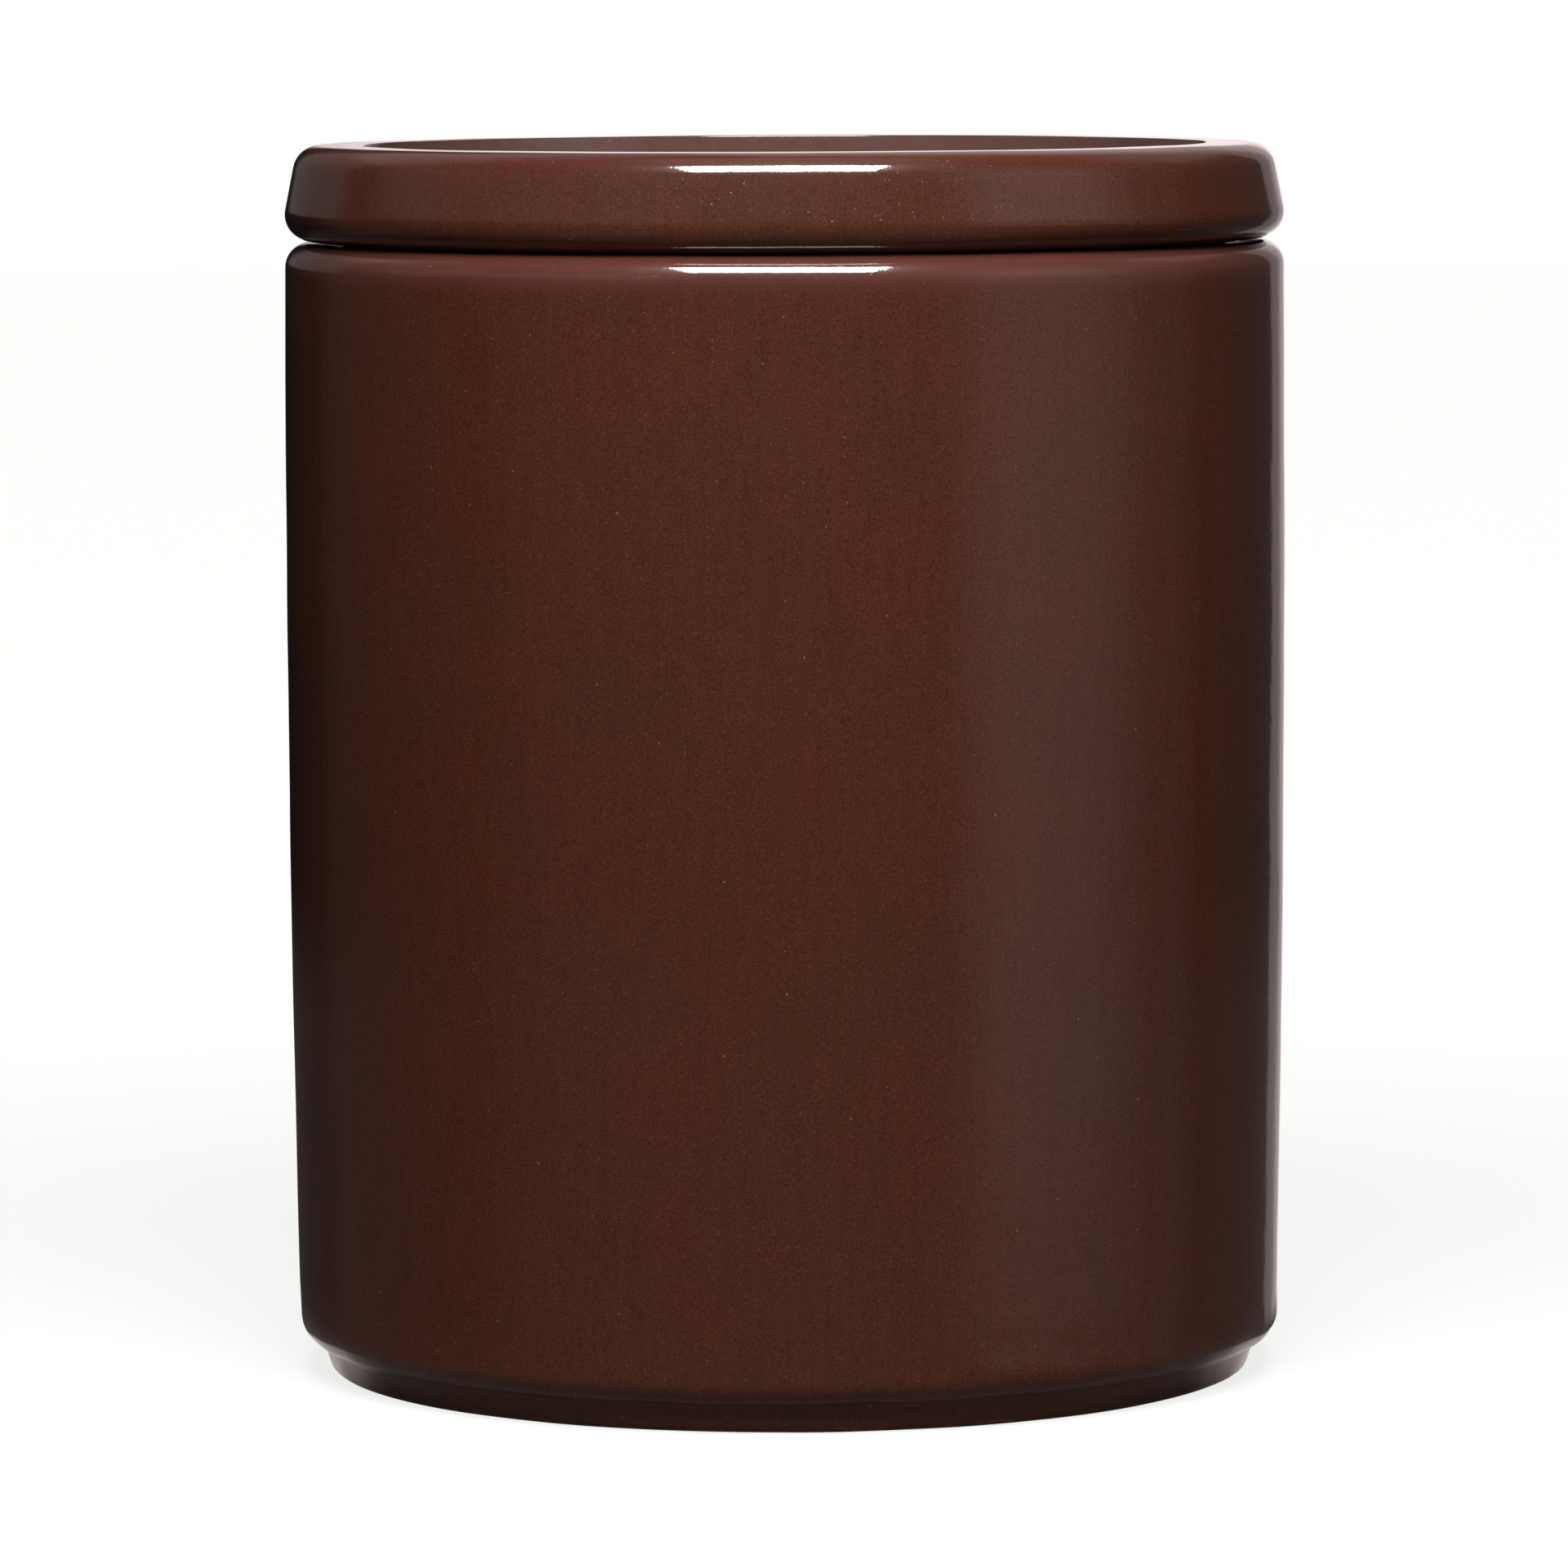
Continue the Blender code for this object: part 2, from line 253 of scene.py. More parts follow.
class StudioLook(bpy.types.PropertyGroup):
    """Camera and softboxes."""

    camera_distance: length("Camera distance", 1080.0, "Camera in front of the jar's axis")
    camera_height: length("Camera height", 168.76, "Camera above the floor")
    camera_aside: length("Camera aside", 0.33, "Camera to the left of the jar's axis")
    camera_tilt: degrees("Camera tilt", 5.212, "How far the camera looks down")
    camera_roll: degrees("Camera roll", -0.24, "Turn of the camera about its own axis")
    lens: amount("Lens", 206.1, "Focal length in millimetres, for a frame 36 mm wide")
    key_distance: length("Key distance", 500.0, "Softbox from the front of the lid")
    key_width: length("Key width", 366.0, "Width of the softbox")
    key_height: length("Key height", 235.0, "Height of the softbox")
    gloss_elevation: degrees("Gloss elevation", 53.0, "Rise of the softbox that the glaze mirrors")
    gloss_aside: length("Gloss aside", -10.0, "That softbox to the right of the jar's axis")
    gloss_power: amount("Gloss power", 16.0, "Its power in watts")
    fill_elevation: degrees("Fill elevation", 47.0, "Rise of the softbox that lights the surfaces")
    fill_aside: length("Fill aside", 5.0, "That softbox to the right of the jar's axis")
    fill_power: amount("Fill power", 4.4, "Its power in watts")


class TableLook(bpy.types.PropertyGroup):
    """The table top. Its distances are from the middle of the foot."""

    reach: length("Reach", 4000.0, "Half the side of the table top")
    pale: colour("Table", "FAFAF8", "Pale table top, as the camera sees it")
    # Painted shade: close to the jar the table's own glow is dimmed to this.
    dim: amount("Dim", 0.86, "Its glow close to the jar, where the jar keeps light off it")
    dim_end: length("Dim end", 120.0, "The glow rises from here")
    full_start: length("Full start", 500.0, "and is full from here")
    matt: amount("Matt", 0.2, "Grey that takes the jar's shadow")
    mirrored: amount("Mirrored", 0.08, "Grey close to the jar, as the glaze mirrors it")
    bounced: amount("Bounced", 0.25, "The same, as it lights the surfaces")
    grey_end: length("Grey end", 66.0, "That grey fades from here")
    open_start: length("Open start", 90.0, "and is gone from here")
    # Painted reflections: blush, sheen and glint set a glow of the table that only the glaze's
    # reflections see.
    blush: colour("Blush", "FFEFEA", "Colour of the sheen and the glint")
    sheen: amount("Sheen", 0.03, "Light that the glaze mirrors off the table")
    sheen_end: length("Sheen end", 350.0, "The sheen fades from here")
    far_start: length("Far start", 600.0, "and is gone from here")
    glint: amount("Glint", 0.5, "Light in the gap beside the foot")
    glint_end: length("Glint end", 62.0, "The glint fades from here")
    gap_end: length("Gap end", 64.0, "and is gone from here")
    glint_front: length("Glint front", -30.0, "The glint is gone before this Y")
    glint_back: length("Glint back", -5.0, "and is full behind this Y")
    under_foot: length("Under the foot", 54.0, "The table is clear within this distance")


def rounded_outline(corners, closed=False):
    """Outline through corners (radius, height, round), as complex numbers radius + i height.

    At a corner the outline follows the circle of that round which touches both sides. It starts and
    ends round * tan(turn / 2) from the corner, and less where two rounds need more than the side
    between them.
    """
    table = np.array(corners)
    place = table[:, 0] + 1j * table[:, 1]
    side = np.roll(place, -1) - place
    turn = np.angle(side / np.roll(side, 1))
    if not closed:
        turn[[0, -1]] = 0.0
    reach = table[:, 2] * np.tan(np.abs(turn) / 2)
    wanted = reach + np.roll(reach, -1)
    share = np.minimum(1.0, np.abs(side) / np.where(wanted > 0.0, wanted, np.inf))
    reach *= np.minimum(share, np.roll(share, 1))
    arcs = []
    for corner, leg, before, angle in zip(place, reach, np.roll(side, 1), turn):
        if leg == 0.0:
            arcs.append([corner])
            continue
        along = before / abs(before)
        start = corner - along * leg
        centre = start + 1j * np.sign(angle) * along * leg / math.tan(abs(angle) / 2)
        steps = math.ceil(abs(angle) / ARC_STEP)
        arcs.append(centre + (start - centre) * np.exp(1j * angle * np.linspace(0.0, 1.0, steps + 1)))
    return np.concatenate(arcs)


def stepped(outline, closed=False):
    """The outline with each side that is longer than the spacing cut into equal steps."""
    ends = np.append(outline, outline[0]) if closed else outline
    travelled = np.append(0.0, np.cumsum(np.abs(np.diff(ends))))
    counts = np.maximum(1, np.ceil(np.abs(np.diff(ends)) / SPACING)).astype(int)
    firsts = np.repeat(travelled[:-1], counts)
    lengths = np.repeat(np.diff(travelled) / counts, counts)
    order = np.arange(counts.sum()) - np.repeat(np.cumsum(counts) - counts, counts)
    places = firsts + lengths * order
    if not closed:
        places = np.append(places, travelled[-1])
    return np.interp(places, travelled, ends.real) + 1j * np.interp(places, travelled, ends.imag)


def outward(outline, closed=False):
    """Unit normals of an outline that keeps the clay on its right.

    A normal is i times the sum of the unit directions before and after the point, made one long.
    """
    ahead = np.roll(outline, -1) - outline
    behind = np.roll(ahead, 1)
    if not closed:
        ahead[-1] = ahead[-2]
        behind[0] = ahead[0]
    along = ahead / np.abs(ahead) + behind / np.abs(behind)
    return 1j * along / np.abs(along)


def unevenness(points, shortest, longest, seed):
    """A height between 0 and 1 at each point.

    It is 1/2 + tanh(sum of cos(2 pi d . p / length + phase) / sqrt(WAVES / 2)) / 2, over plane waves
    of seeded directions d, lengths and phases.
    """
    dice = np.random.default_rng(seed)
    directions = dice.normal(size=(3, WAVES))
    directions /= np.linalg.norm(directions, axis=0)
    lengths = dice.uniform(shortest, longest, WAVES)
    phases = dice.uniform(0.0, math.tau, WAVES)
    waves = np.cos(points @ (directions * math.tau / lengths) + phases)
    return 0.5 + 0.5 * np.tanh(waves.sum(axis=1) / math.sqrt(WAVES / 2))


def turned_mesh(name, outline, closed=False, sink=None, marks=None):
    """Surface of an outline carried round the axis: x = radius cos a, y = radius sin a, z = height.

    A point on the axis is one pole, joined by a fan. sink(points) gives how far each point moves
    inwards along its normal. marks names attributes of the surface, each with a value from 0 to 1 for
    each outline point.
    """
    angles = np.arange(COLUMNS) * math.tau / COLUMNS
    ring = outline.real > ON_AXIS
    normal = outward(outline, closed)
    normal[~ring] = 1j * np.sign(normal[~ring].imag)

    def carried(values, turns):
        """Each value, as radius + i height, at each turn round the axis."""
        spread = np.broadcast_to(turns, (len(values), len(turns)))
        level = np.broadcast_to(values.imag[:, None], spread.shape)
        across = values.real[:, None]
        places = [across * np.cos(spread), across * np.sin(spread), level]
        return np.stack(places, axis=-1).reshape(-1, 3)

    points = np.concatenate([carried(outline[ring], angles), carried(outline[~ring], np.zeros(1))])
    normals = np.concatenate([carried(normal[ring], angles), carried(normal[~ring], np.zeros(1))])
    if sink is not None:
        points = points - normals * sink(points)[:, None]

    rows = int(ring.sum())
    first = np.arange(rows if closed else rows - 1)[:, None]
    second = (first + 1) % rows
    column = np.arange(COLUMNS)
    beside = (column + 1) % COLUMNS
    quads = np.stack([
        first * COLUMNS + column,
        second * COLUMNS + column,
        second * COLUMNS + beside,
        first * COLUMNS + beside,
    ], axis=-1).reshape(-1, 4)
    faces = quads.tolist()
    pole = rows * COLUMNS
    if not ring[0]:
        faces += np.stack([np.full(COLUMNS, pole), column, beside], axis=-1).tolist()
        pole += 1
    if not ring[-1]:
        last = (rows - 1) * COLUMNS
        faces += np.stack([last + column, np.full(COLUMNS, pole), last + beside], axis=-1).tolist()

    mesh = bpy.data.meshes.new(name)
    mesh.from_pydata(points.tolist(), [], faces)
    if mesh.validate():
        raise RuntimeError(f"the surface of {name} has faults")
    mesh.shade_smooth()
    mesh.set_sharp_from_angle(angle=SHARP)
    for mark, values in (marks or {}).items():
        spread = np.concatenate([np.repeat(values[ring], COLUMNS), values[~ring]])
        mesh.attributes.new(mark, "FLOAT", "POINT").data.foreach_set("value", spread)
    return mesh


def new_object(name, data):
    """An object that holds this data, in the scene."""
    thing = bpy.data.objects.new(name, data)
    bpy.context.scene.collection.objects.link(thing)
    return thing


def new_piece(mesh, material, node, body):
    """Show a mesh in place of a CAD node, on that node's body, once both have the same box."""
    piece = new_object(mesh.name, mesh)
    mesh.materials.append(material)
    corners = np.array([corner[:] for corner in piece.bound_box])
    low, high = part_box(node)
    miss = max(np.abs(corners.min(axis=0) - low).max(), np.abs(corners.max(axis=0) - high).max())
    if miss > FIT:
        raise RuntimeError(f"{mesh.name} differs from {node} by {miss / MM:.2f} mm")
    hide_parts(node)
    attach(piece, body)


def add_node(tree, kind, inputs=None, **settings):
    """Add a shader node with its settings. An input gets a value, or a link where that is a socket."""
    node = tree.nodes.new("ShaderNode" + kind)
    for name, value in settings.items():
        setattr(node, name, value)
    for name, value in (inputs or {}).items():
        if isinstance(value, bpy.types.NodeSocket):
            tree.links.new(value, node.inputs[name])
        else:
            node.inputs[name].default_value = value
    return node


def new_material(name):
    """A node material with no nodes yet, and its tree."""
    material = bpy.data.materials.new(name)
    material.use_nodes = True
    material.node_tree.nodes.clear()
    return material, material.node_tree


def brown_glaze(look):
    """Glossy iron-brown glaze on stoneware.

    Fired glass over a dark body: a sharp clear coat over a deep red-brown that is mottled like fine
    sand, with faint streaks where it ran, sparse pale crystals, and a paler break along the rounds and
    the sharpest edges. That break is partly thin glaze and partly painted light: a painted lighter
    shade on the upward rounds and a painted reflection on the recess wall. There is bare clay on the
    ring that the jar stands on and on the lid's seat.
    """
    material, tree = new_material(GLAZE)
    place = add_node(tree, "TexCoord").outputs["Object"]

    # Patches of two reds, some two centimetres wide.
    clouds = add_node(tree, "TexNoise", {"Vector": place, "Scale": 1 / look.cloud, "Detail": 2.0})
    patch = add_node(tree, "MapRange", {
        "Value": clouds.outputs["Fac"], "From Min": 0.38, "From Max": 0.62,
    })
    body_colour = add_node(tree, "Mix", {
        "Factor": patch.outputs["Result"], "A": look.red, "B": look.umber,
    }, data_type="RGBA")

    # Sandy mottling, drawn as coarse as it needs to show in the render, and streaks about a millimetre
    # wide and eight times as long.
    sand = add_node(tree, "TexNoise", {
        "Vector": place, "Scale": 1 / look.grain, "Detail": 2.0, "Roughness": 0.6,
    })
    grain = add_node(tree, "MapRange", {
        "Value": sand.outputs["Fac"], "From Min": 0.3, "From Max": 0.7,
        "To Min": 1 - look.grain_depth, "To Max": 1 + look.grain_depth,
    })
    drawn = add_node(tree, "Mapping", {"Vector": place, "Scale": (1.0, 1.0, 0.12)})
    streaks = add_node(tree, "TexNoise", {
        "Vector": drawn.outputs["Vector"], "Scale": 1 / look.streak, "Detail": 1.0,
    })
    streak = add_node(tree, "MapRange", {
        "Value": streaks.outputs["Fac"], "From Min": 0.3, "From Max": 0.7,
        "To Min": 1 - look.streak_depth, "To Max": 1 + look.streak_depth,
    })
    gain = add_node(tree, "Math", {
        0: grain.outputs["Result"], 1: streak.outputs["Result"],
    }, operation="MULTIPLY")
    shaded = add_node(tree, "VectorMath", {
        0: body_colour.outputs["Result"], "Scale": gain.outputs["Value"],
    }, operation="SCALE")

    # The glaze thins over the rounds, first to a redder tone and at the sharpest edges to a greyer one.
    # Both tones also carry painted light: the redder one a painted lighter shade on the upward rounds,
    # the greyer one a painted reflection on the recess wall.
    drift = add_node(tree, "TexNoise", {"Vector": place, "Scale": 1 / look.drift, "Detail": 2.0})
    wander = add_node(tree, "MapRange", {
        "Value": drift.outputs["Fac"], "From Min": 0.3, "From Max": 0.7, "To Min": 0.8,
    })
    mark = add_node(tree, "Attribute", attribute_name="thin_glaze_and_painted_light")
    thinness_and_painted_light = add_node(tree, "Math", {
        0: mark.outputs["Fac"], 1: wander.outputs["Result"],
    }, operation="MULTIPLY", use_clamp=True)
    redder = add_node(tree, "MapRange", {"Value": thinness_and_painted_light.outputs["Value"], "From Max": 0.5})
    greyer = add_node(tree, "MapRange", {"Value": thinness_and_painted_light.outputs["Value"], "From Min": 0.5})
    thin = add_node(tree, "Mix", {
        "Factor": redder.outputs["Result"], "A": shaded.outputs["Vector"], "B": look.thin,
    }, data_type="RGBA")
    bald_and_painted_reflection = add_node(tree, "Mix", {
        "Factor": greyer.outputs["Result"], "A": thin.outputs["Result"], "B": look.bald_and_painted_reflection,
    }, data_type="RGBA")

    # Faint flecks everywhere and a few brighter specks: crystals under a third of a millimetre across.
    # A crystal shows where the distance to its cell's point is less than a size drawn from the cell.
    flecks = add_node(tree, "TexVoronoi", {"Vector": place, "Scale": 1 / look.fleck_spacing})
    fleck_chance = add_node(tree, "SeparateColor", {"Color": flecks.outputs["Color"]})
    fleck_size = add_node(tree, "MapRange", {
        "Value": fleck_chance.outputs["Red"], "From Min": 0.2, "To Min": 0.02, "To Max": 0.17,
    })
    fleck = add_node(tree, "Math", {
        0: flecks.outputs["Distance"], 1: fleck_size.outputs["Result"],
    }, operation="LESS_THAN")
    varied = add_node(tree, "Math", {
        0: fleck.outputs["Value"], 1: fleck_chance.outputs["Green"],
    }, operation="MULTIPLY")
    faint = add_node(tree, "Math", {
        0: varied.outputs["Value"], 1: look.fleck_share,
    }, operation="MULTIPLY")
    flecked = add_node(tree, "Mix", {
        "Factor": faint.outputs["Value"], "A": bald_and_painted_reflection.outputs["Result"], "B": look.speck,
    }, data_type="RGBA")
    specks = add_node(tree, "TexVoronoi", {"Vector": place, "Scale": 1 / look.speck_spacing})
    speck_chance = add_node(tree, "SeparateColor", {"Color": specks.outputs["Color"]})
    speck_size = add_node(tree, "MapRange", {
        "Value": speck_chance.outputs["Red"], "From Min": 0.3, "To Min": 0.01, "To Max": 0.06,
    })
    speck = add_node(tree, "Math", {
        0: specks.outputs["Distance"], 1: speck_size.outputs["Result"],
    }, operation="LESS_THAN")
    bright = add_node(tree, "Math", {
        0: speck.outputs["Value"], 1: look.speck_share,
    }, operation="MULTIPLY")
    dotted = add_node(tree, "Mix", {
        "Factor": bright.outputs["Value"], "A": flecked.outputs["Result"], "B": look.speck,
    }, data_type="RGBA")

    # Bare clay where the foot stands and on the lid's seat, with a slightly uneven border.
    wiped = add_node(tree, "Attribute", attribute_name="bare_clay")
    border = add_node(tree, "Math", {
        0: drift.outputs["Fac"], 1: 0.6, 2: wiped.outputs["Fac"],
    }, operation="MULTIPLY_ADD")
    bare = add_node(tree, "MapRange", {
        "Value": border.outputs["Value"], "From Min": 0.76, "From Max": 0.84,
    })
    gritty = add_node(tree, "TexNoise", {"Vector": place, "Scale": 1 / look.grit, "Detail": 4.0})
    clay = add_node(tree, "VectorMath", {
        0: look.bare[:3], "Scale": gritty.outputs["Fac"],
    }, operation="SCALE")
    final = add_node(tree, "Mix", {
        "Factor": bare.outputs["Result"], "A": dotted.outputs["Result"], "B": clay.outputs["Vector"],
    }, data_type="RGBA")

    # Relief: orange peel, fine grain and raised crystals.
    peel = add_node(tree, "TexNoise", {"Vector": place, "Scale": 1 / look.peel, "Detail": 1.5})
    fine = add_node(tree, "TexNoise", {"Vector": place, "Scale": 1 / look.grit, "Detail": 1.0})
    rolling = add_node(tree, "Bump", {"Height": peel.outputs["Fac"], "Distance": look.peel_depth})
    grainy = add_node(tree, "Bump", {
        "Height": fine.outputs["Fac"], "Distance": look.grit_depth,
        "Normal": rolling.outputs["Normal"],
    })
    raised = add_node(tree, "Bump", {
        "Height": fleck.outputs["Value"], "Distance": look.fleck_depth,
        "Normal": grainy.outputs["Normal"],
    })

    # The layer under the coat is rougher, so highlights have a faint glow. The clay is matt, uncoated.
    soft = add_node(tree, "MapRange", {
        "Value": bare.outputs["Result"], "To Min": look.under_roughness, "To Max": look.clay_roughness,
    })
    coat = add_node(tree, "Math", {0: 1.0, 1: bare.outputs["Result"]}, operation="SUBTRACT")
    shader = add_node(tree, "BsdfPrincipled", {
        "Base Color": final.outputs["Result"],
        "Roughness": soft.outputs["Result"],
        "IOR": 1.5,
        "Specular IOR Level": 0.04,
        "Coat Weight": coat.outputs["Value"],
        "Coat Roughness": look.coat_roughness,
        "Coat IOR": 1.5,
        "Normal": raised.outputs["Normal"],
        "Coat Normal": raised.outputs["Normal"],
    })
    add_node(tree, "OutputMaterial", {"Surface": shader.outputs["BSDF"]})
    return material


def milky_silicone(look):
    """Moulded silicone rubber.

    Milky and satin: light goes a millimetre into it, and it has faint dusty patches from use.
    """
    material, tree = new_material("milky_moulded_silicone")
    place = add_node(tree, "TexCoord").outputs["Object"]
    patches = add_node(tree, "TexNoise", {"Vector": place, "Scale": 1 / look.patch, "Detail": 4.0})
    dust = add_node(tree, "MapRange", {
        "Value": patches.outputs["Fac"], "From Min": 0.45, "From Max": 0.7,
    })
    tone = add_node(tree, "Mix", {
        "Factor": dust.outputs["Result"], "A": look.milky, "B": look.dusty,
    }, data_type="RGBA")
    rough = add_node(tree, "MapRange", {
        "Value": patches.outputs["Fac"], "From Min": 0.3, "From Max": 0.7,
        "To Min": 0.38, "To Max": 0.52,
    })
    tooth = add_node(tree, "TexNoise", {"Vector": place, "Scale": 1 / look.tooth, "Detail": 2.0})
    relief = add_node(tree, "Bump", {"Height": tooth.outputs["Fac"], "Distance": look.tooth_depth})
    shader = add_node(tree, "BsdfPrincipled", {
        "Base Color": tone.outputs["Result"],
        "Roughness": rough.outputs["Result"],
        "IOR": 1.41,
        "Subsurface Weight": 0.15,
        "Subsurface Radius": (1.0, 0.95, 0.9),
        "Subsurface Scale": 1.0 * MM,
        "Normal": relief.outputs["Normal"],
    })
    add_node(tree, "OutputMaterial", {"Surface": shader.outputs["BSDF"]})
    return material


def glaze():
    """The glaze that the body and the lid share, made once."""
    return bpy.data.materials.get(GLAZE) or brown_glaze(bpy.context.scene.jar_glaze)


def thinning_and_painted_light(outline, edges):
    """How thin the glaze lies at each point, from 0 to 1, and so how much painted light its colour
    takes: a painted lighter shade on the upward rounds and a painted reflection on the recess wall.

    It is the most that any edge (radius, height, reach, share) gives: share exp(-(distance / reach)^4).
    """
    total = np.zeros(len(outline))
    for radius, level, reach, share in edges:
        distance = np.abs(outline - (radius + 1j * level))
        total = np.maximum(total, share * np.exp(-(distance / reach) ** 4))
    return total


def body_outline(sizes):
    """Section of the body, from the middle of its floor over the rim to the middle of its underside.

    The wall is a straight line from the lower corner to the rim plus a swelling of 4 belly s (1 - s),
    where s goes from 0 to 1 up the wall. The inside is the same curve, set in by the wall's thickness.
    The levels next to the rounded corners are left out, which gives the rounds their room.
    """
    low = sizes.foot_height + sizes.foot_setback * math.tan(sizes.base_slope)
    base = sizes.radius - sizes.taper
    floor = sizes.foot_recess + sizes.floor

    def wall(level):
        """Radius of the outside of the wall at a level."""
        share = (level - low) / (sizes.height - low)
        return base + sizes.taper * share + 4 * sizes.belly * share * (1 - share)

    up = np.linspace(floor, sizes.height, WALL_LEVELS)[1:-1]
    down = np.linspace(sizes.height, low, WALL_LEVELS)[1:-1]
    inside = np.stack([wall(up) - sizes.wall, up, np.zeros_like(up)], axis=1)
    outside = np.stack([wall(down), down, np.zeros_like(down)], axis=1)
    foot_top = base - sizes.foot_setback
    foot_outer = foot_top - sizes.foot_taper
    foot_inner = foot_outer - sizes.foot_width
    return rounded_outline([
        (0.0, floor, 0.0),
        (wall(floor) - sizes.wall, floor, sizes.inside_round),
        *inside[4:-1],
        (sizes.radius - sizes.wall, sizes.height, sizes.mouth_round),
        (sizes.radius, sizes.height, sizes.shoulder_round),
        *outside[1:-2],
        (base, low, sizes.corner_round),
        (foot_top, sizes.foot_height, sizes.foot_fillet),
        (foot_outer, 0.0, sizes.foot_edge_round),
        (foot_inner, 0.0, sizes.foot_edge_round),
        (foot_inner - sizes.foot_taper, sizes.foot_recess, sizes.foot_fillet),
        (0.0, sizes.foot_recess, 0.0),
    ])


def lid_outline(sizes):
    """Section of the lid, from the middle of its recess to the middle of its underside.

    Also gives the radius of the recess. The lower outer edge is a circle that touches the widest
    radius, the leaning side and the undercut.
    """
    centre = sizes.radius - sizes.low_round
    under = math.pi / 2 - sizes.undercut
    spread = sizes.low_round / math.cos((sizes.lean + under) / 2)
    middle = (sizes.lean - under) / 2
    rise = sizes.height - sizes.widest
    top = centre + (sizes.low_round - rise * math.sin(sizes.lean)) / math.cos(sizes.lean)
    seat = centre + (sizes.low_round - sizes.widest * math.sin(under)) / math.cos(under)
    recess = top - sizes.rim_width
    dish = sizes.height - sizes.recess_depth
    groove_low = sizes.spigot_land - sizes.spigot_depth
    groove_high = groove_low + sizes.groove_height
    groove = sizes.spigot_radius - sizes.groove_depth
    bore = groove - sizes.spigot_wall
    outline = rounded_outline([
        (0.0, dish, 0.0),
        (recess - sizes.recess_draft, dish, sizes.recess_corner_round),
        (recess, sizes.height, sizes.recess_edge_round),
        (top, sizes.height, sizes.top_round),
        (
            centre + spread * math.cos(middle),
            sizes.widest + spread * math.sin(middle),
            sizes.low_round,
        ),
        (seat, 0.0, sizes.seat_edge_round),
        (sizes.spigot_radius, 0.0, sizes.spigot_root_round),
        (sizes.spigot_radius, groove_high, 0.0),
        (groove, groove_high, 0.0),
        (groove, groove_low, 0.0),
        (sizes.spigot_radius, groove_low, 0.0),
        (sizes.spigot_radius, -sizes.spigot_depth, sizes.spigot_end_round),
        (bore, -sizes.spigot_depth, sizes.spigot_end_round),
        (bore, dish - sizes.plate, sizes.underside_round),
        (0.0, dish - sizes.plate, 0.0),
    ])
    return outline + 1j * sizes.seat, recess


def seal_outline(sizes):
    """Closed section of the seal ring: an upright band with two flat lips outside."""
    band = sizes.inner_radius + sizes.band
    corners = [
        (sizes.inner_radius, sizes.half_height, sizes.band_round),
        (band, sizes.half_height, sizes.band_round),
    ]
    for middle in (sizes.lip_pitch / 2, -sizes.lip_pitch / 2):
        above = middle + sizes.lip_thickness / 2
        below = middle - sizes.lip_thickness / 2
        corners += [
            (band, above, sizes.root_round),
            (sizes.tip_radius, above, sizes.lip_round),
            (sizes.tip_radius, below, sizes.lip_round),
            (band, below, sizes.root_round),
        ]
    corners += [
        (band, -sizes.half_height, sizes.band_round),
        (sizes.inner_radius, -sizes.half_height, sizes.band_round),
    ]
    return rounded_outline(corners, closed=True) + 1j * sizes.middle


class JAR_OT_body(bpy.types.Operator):
    """Build the glazed stoneware body in place of its CAD solid"""

    bl_idname = "jar.body"
    bl_label = "Stoneware body"

    def execute(self, context):
        sizes = context.scene.jar_body
        look = context.scene.jar_glaze

        def sink(points):
            """How far the fired surface lies inside the drawn one, most near the foot."""
            radius, level = np.hypot(points[:, 0], points[:, 1]), points[:, 2]
            near_foot = np.interp(level, RUN_LEVELS, (1.0, 0.0)) * (level > STANDING)
            run = near_foot * np.interp(radius, RUN_RADII, (0.0, 1.0)) * look.run
            broad = unevenness(points, *BROAD, seed=3) * look.waviness
            return broad + unevenness(points, *GATHERED, seed=8) * run

        outline = stepped(body_outline(sizes))
        marks = {
            # The shoulder's mark is partly thin glaze and partly a painted lighter shade on its upward
            # round.
            "thin_glaze_and_painted_light": thinning_and_painted_light(outline, [
                (sizes.radius, sizes.height - 1.6 * MM, 2.2 * MM, 0.50),    # shoulder
                (sizes.radius - sizes.wall, sizes.height, 1.8 * MM, 0.8),   # mouth
            ]),
            "bare_clay": np.interp(outline.imag, (0.0, CLAY_LEVEL), (1.0, 0.0)),
        }
        mesh = turned_mesh("stoneware_body", outline, sink=sink, marks=marks)
        new_piece(mesh, glaze(), "jar_body", "jar")
        return {"FINISHED"}


class JAR_OT_lid(bpy.types.Operator):
    """Build the glazed stoneware lid in place of its CAD solid"""

    bl_idname = "jar.lid"
    bl_label = "Stoneware lid"

    def execute(self, context):
        sizes = context.scene.jar_lid
        look = context.scene.jar_glaze

        def sink(points):
            """How far the fired surface lies inside the drawn one."""
            return unevenness(points, *BROAD, seed=5) * look.waviness

        outline, recess = lid_outline(sizes)
        outline = stepped(outline)
        top = sizes.seat + sizes.height
        level_with_seat = np.abs(outline.imag - sizes.seat) < SEAT_SLACK
        on_seat = level_with_seat & (outline.real > sizes.spigot_radius)
        marks = {
            # The crest's mark is partly thin glaze and partly a painted lighter shade on the upward
            # rim. The recess wall's mark is partly thin glaze and partly a painted reflection.
            "thin_glaze_and_painted_light": thinning_and_painted_light(outline, [
                (recess + sizes.rim_width / 2, top, 4.4 * MM, 0.45),    # crest of the rim
                (recess, top - 1.5 * MM, 2.6 * MM, 1.0),                # wall of the recess
            ]),
            "bare_clay": on_seat.astype(float),
        }
        mesh = turned_mesh("stoneware_lid", outline, sink=sink, marks=marks)
        new_piece(mesh, glaze(), "lid", "cover")
        return {"FINISHED"}


